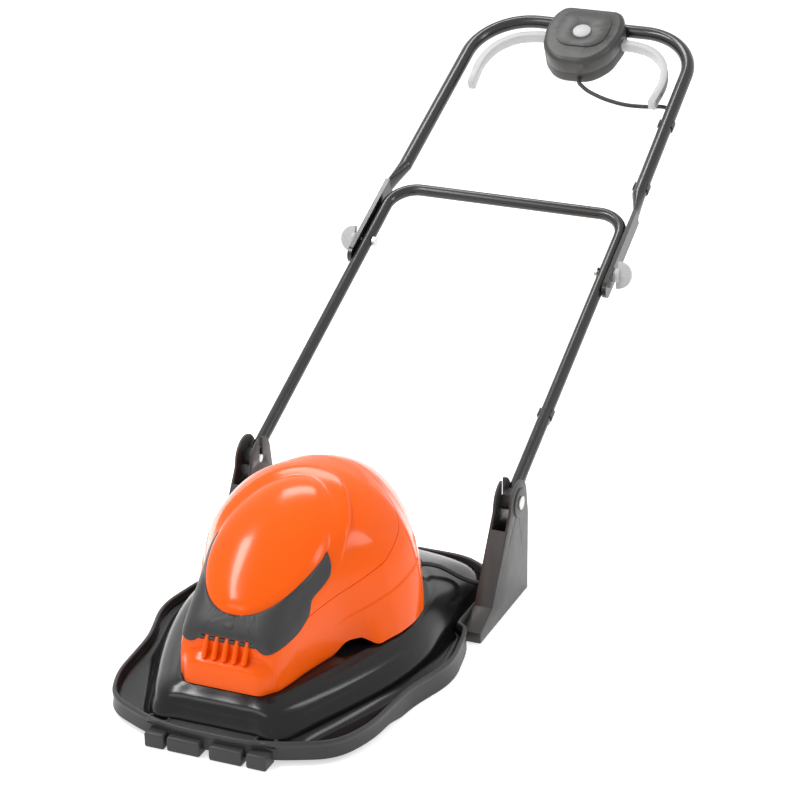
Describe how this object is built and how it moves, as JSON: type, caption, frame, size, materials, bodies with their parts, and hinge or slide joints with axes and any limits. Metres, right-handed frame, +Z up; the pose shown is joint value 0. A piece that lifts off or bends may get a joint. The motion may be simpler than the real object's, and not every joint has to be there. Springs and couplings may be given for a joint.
{
  "type": "hover mower",
  "caption": "Electric hover mower: moulded deck with a domed motor hood and a folding tubular handle with a switch box and squeeze levers.",
  "frame": {"origin": "on the ground, under the middle of the whole mower", "axes": "+X to the mower's left as it faces forwards (-Y), +Y back along the handle, +Z up"},
  "size_m": [0.488, 1.5546, 0.634],
  "materials": {
    "hood_orange": "glossy orange moulding",
    "deck_grey": "satin dark grey moulding",
    "trim_grey": "matt dark grey moulding",
    "box_black": "black moulding",
    "tube_paint": "dark grey powder coat",
    "pale_plastic": "pale grey plastic",
    "zinc_steel": "zinc plated steel",
    "blade_steel": "ground steel",
    "ground_steel": "ground steel",
    "lamination": "varnished laminations",
    "copper": "copper segments",
    "carbon": "carbon",
    "pulley": "grey moulding",
    "rubber": "black rubber"
  },
  "bodies": {
    "chassis": {"deck": "deck_grey", "hood_body": "hood_orange", "hood_cap": "hood_orange", "visor": "trim_grey", "vent_grille": "hood_orange", "spindle_housing": "box_black", "spindle_bearing_lower": "ground_steel", "spindle_bearing_upper": "ground_steel", "housing_screws": "zinc_steel", "hood_screws": "zinc_steel", "motor_bridge": "box_black", "bridge_screws": "zinc_steel", "motor_bracket_lower": "box_black", "motor_bracket_upper": "box_black", "stator": "lamination", "motor_bearings": "ground_steel", "carbon_brushes": "carbon", "terminal_block": "box_black", "suppressor": "box_black", "bracket_right": "trim_grey", "bracket_left": "trim_grey", "bracket_screws": "zinc_steel", "pivot_pins": "zinc_steel", "cable_deck": "rubber", "cable_gland": "rubber", "motor_screws": "zinc_steel", "drive_belt": "rubber"},
    "spindle": {"blade": "blade_steel", "height_washers": "pulley", "impeller": "box_black", "spindle_shaft": "ground_steel", "blade_bolt": "zinc_steel", "driven_pulley": "pulley", "spindle_nut": "zinc_steel"},
    "motor_rotor": {"motor_shaft": "ground_steel", "drive_pulley": "pulley", "armature": "lamination", "commutator": "copper", "motor_fan": "box_black"},
    "lower_handle": {"lower_tube": "tube_paint", "pivot_plug_right": "trim_grey", "pivot_plug_left": "trim_grey", "fold_bolts": "zinc_steel", "fold_washers": "zinc_steel", "cable_lower": "rubber", "lower_cable_clip": "box_black"},
    "upper_handle": {"upper_tube": "tube_paint", "switch_box_cover": "box_black", "switch_box_base": "box_black", "box_screws": "zinc_steel", "lever_springs": "zinc_steel", "switch_module": "box_black", "button_spring": "zinc_steel", "cable_upper": "rubber", "upper_cable_clips": "box_black"},
    "lever_right": {"lever_right": "pale_plastic"},
    "lever_left": {"lever_left": "pale_plastic"},
    "lock_button": {"lock_button": "pale_plastic"},
    "knob_right": {"wing_knob_right": "pale_plastic"},
    "knob_left": {"wing_knob_left": "pale_plastic"}
  },
  "joints": [
    {"name": "blade_spin", "type": "hinge", "parent": "chassis", "child": "spindle", "pos_m": [0, -0.5323, 0.05], "axis": [0, 0, 1], "continuous": true},
    {"name": "motor_spin", "type": "hinge", "parent": "chassis", "child": "motor_rotor", "pos_m": [0, -0.3973, 0.16], "axis": [0, 0, 1], "continuous": true},
    {"name": "handle_tilt", "type": "hinge", "parent": "chassis", "child": "lower_handle", "pos_m": [0, -0.1923, 0.156], "axis": [1, 0, 0], "range_deg": [0, 64]},
    {"name": "handle_fold", "type": "hinge", "parent": "lower_handle", "child": "upper_handle", "pos_m": [0, 0.23121, 0.35982], "axis": [1, 0, 0], "range_deg": [0, 120]},
    {"name": "lever_right_squeeze", "type": "hinge", "parent": "upper_handle", "child": "lever_right", "pos_m": [0.046, 0.70337, 0.58706], "axis": [0, -0.4337, 0.9011], "range_deg": [0, 5.5], "stiffness_Nm_per_rad": 1.5, "springref_deg": -5.73},
    {"name": "lever_left_squeeze", "type": "hinge", "parent": "upper_handle", "child": "lever_left", "pos_m": [-0.046, 0.70337, 0.58706], "axis": [0, 0.4337, -0.9011], "range_deg": [0, 5.5], "stiffness_Nm_per_rad": 1.5, "springref_deg": -5.73},
    {"name": "lock_button_press", "type": "slide", "parent": "upper_handle", "child": "lock_button", "axis": [0, 0.4337, -0.9011], "range_m": [0, 0.004], "stiffness_N_per_m": 400, "springref_m": -0.002, "deforming": ["button_spring"]},
    {"name": "knob_right_turn", "type": "hinge", "parent": "lower_handle", "child": "knob_right", "pos_m": [0.225, 0.23121, 0.35982], "axis": [1, 0, 0], "continuous": true},
    {"name": "knob_left_turn", "type": "hinge", "parent": "lower_handle", "child": "knob_left", "pos_m": [-0.225, 0.23121, 0.35982], "axis": [1, 0, 0], "continuous": true}
  ],
  "couplings": [
    {"joint": "motor_spin", "follows": "blade_spin", "ratio": 5.4086}
  ]
}
